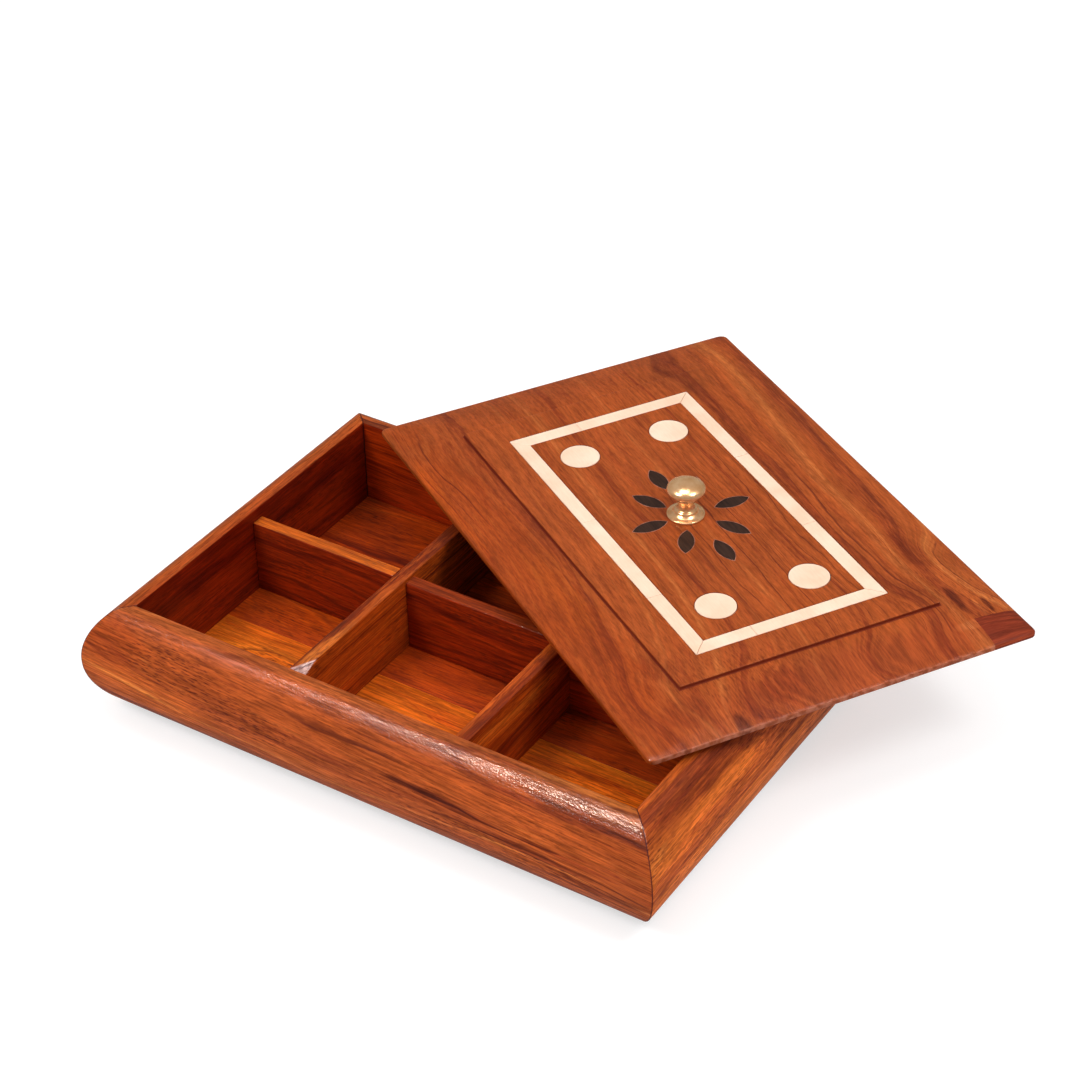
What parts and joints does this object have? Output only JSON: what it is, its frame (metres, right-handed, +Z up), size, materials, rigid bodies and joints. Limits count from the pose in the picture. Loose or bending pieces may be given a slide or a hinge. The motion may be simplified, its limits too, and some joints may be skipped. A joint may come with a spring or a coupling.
{
  "type": "wooden spice box with compartments and lid",
  "caption": "Low wooden spice box with bulging mitred sides, a grid of compartments and an inlaid lift-off lid with a brass knob, lying askew on the rim.",
  "frame": {"origin": "centre of the underside of the base plate, on the surface that the box stands on", "axes": "+X along the front rail from left to right, +Y from the front rail to the back rail, +Z up"},
  "size_m": [0.3136, 0.2932, 0.0729],
  "materials": {
    "long_rail_wood": "satin lacquered sheesham, streaked with dark lines",
    "end_rail_wood": "satin lacquered sheesham",
    "base_wood": "dark stained board",
    "front_floor_wood": "light orange sheesham, lacquered",
    "back_floor_wood": "dark sheesham, lacquered",
    "divider_wood": "thin lacquer over sheesham, matte on top",
    "lid_wood": "flowing long-grain sheesham, satin lacquer",
    "patch_wood": "darker sheesham, satin lacquer",
    "locator_wood": "plain sheesham, oiled",
    "pale_inlay": "pale cream inlay, sanded flush and lacquered",
    "dark_inlay": "near-black inlay, sanded flush and lacquered",
    "brass": "turned and polished",
    "steel": "plain"
  },
  "bodies": {
    "box": {"front_rail": "long_rail_wood", "back_rail": "long_rail_wood", "left_rail": "end_rail_wood", "right_rail": "end_rail_wood", "base_plate": "base_wood", "base_pins": "steel", "floor_board_front": "front_floor_wood", "floor_board_back": "back_floor_wood", "long_divider_left": "divider_wood", "long_divider_right": "divider_wood", "cross_divider_left": "divider_wood", "cross_divider_middle": "divider_wood", "cross_divider_right": "divider_wood"},
    "lid": {"lid_panel": "lid_wood", "lid_corner_patch": "patch_wood", "locating_panel": "locator_wood", "knob": "brass", "knob_screw": "steel", "strip_far_1": "pale_inlay", "strip_far_2": "pale_inlay", "strip_far_3": "pale_inlay", "strip_near_1": "pale_inlay", "strip_near_2": "pale_inlay", "strip_near_3": "pale_inlay", "strip_left_1": "pale_inlay", "strip_left_2": "pale_inlay", "strip_right_1": "pale_inlay", "strip_right_2": "pale_inlay", "disc_1": "pale_inlay", "disc_2": "pale_inlay", "disc_3": "pale_inlay", "disc_4": "pale_inlay", "petal_1": "dark_inlay", "petal_2": "dark_inlay", "petal_3": "dark_inlay", "petal_4": "dark_inlay", "petal_5": "dark_inlay", "petal_6": "dark_inlay", "petal_7": "dark_inlay", "petal_8": "dark_inlay"}
  },
  "joints": [
    {"name": "lid_lift", "type": "slide", "parent": "box", "child": "lid", "axis": [0, 0, 1], "range_m": [0, 0.09]}
  ]
}
